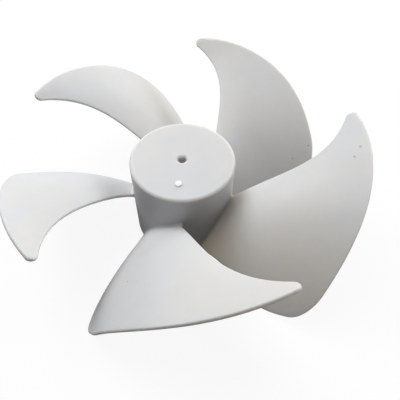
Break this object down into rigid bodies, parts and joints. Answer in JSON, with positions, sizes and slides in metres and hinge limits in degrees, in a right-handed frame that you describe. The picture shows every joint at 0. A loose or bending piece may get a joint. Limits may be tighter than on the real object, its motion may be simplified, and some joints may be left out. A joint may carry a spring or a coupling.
{
  "type": "axial fan impeller",
  "caption": "Moulded axial fan impeller: cup-shaped hub with a D-bore boss and wide, forward-swept, strongly cambered blades.",
  "frame": {"origin": "centre of the shaft bore's mouth, on the fan axis, in the plane of the hub's open rear rim", "axes": "+Z along the fan axis, from the open rim towards the closed front face of the hub; -Y from the axis towards the gate mark, within 7 degrees; the D flat of the bore is on the +Y side"},
  "size_m": [0.1185, 0.1182, 0.0428],
  "materials": {
    "white_plastic": "moulded white plastic with a soft gloss"
  },
  "bodies": {
    "root": {"impeller": "white_plastic"}
  },
  "joints": []
}
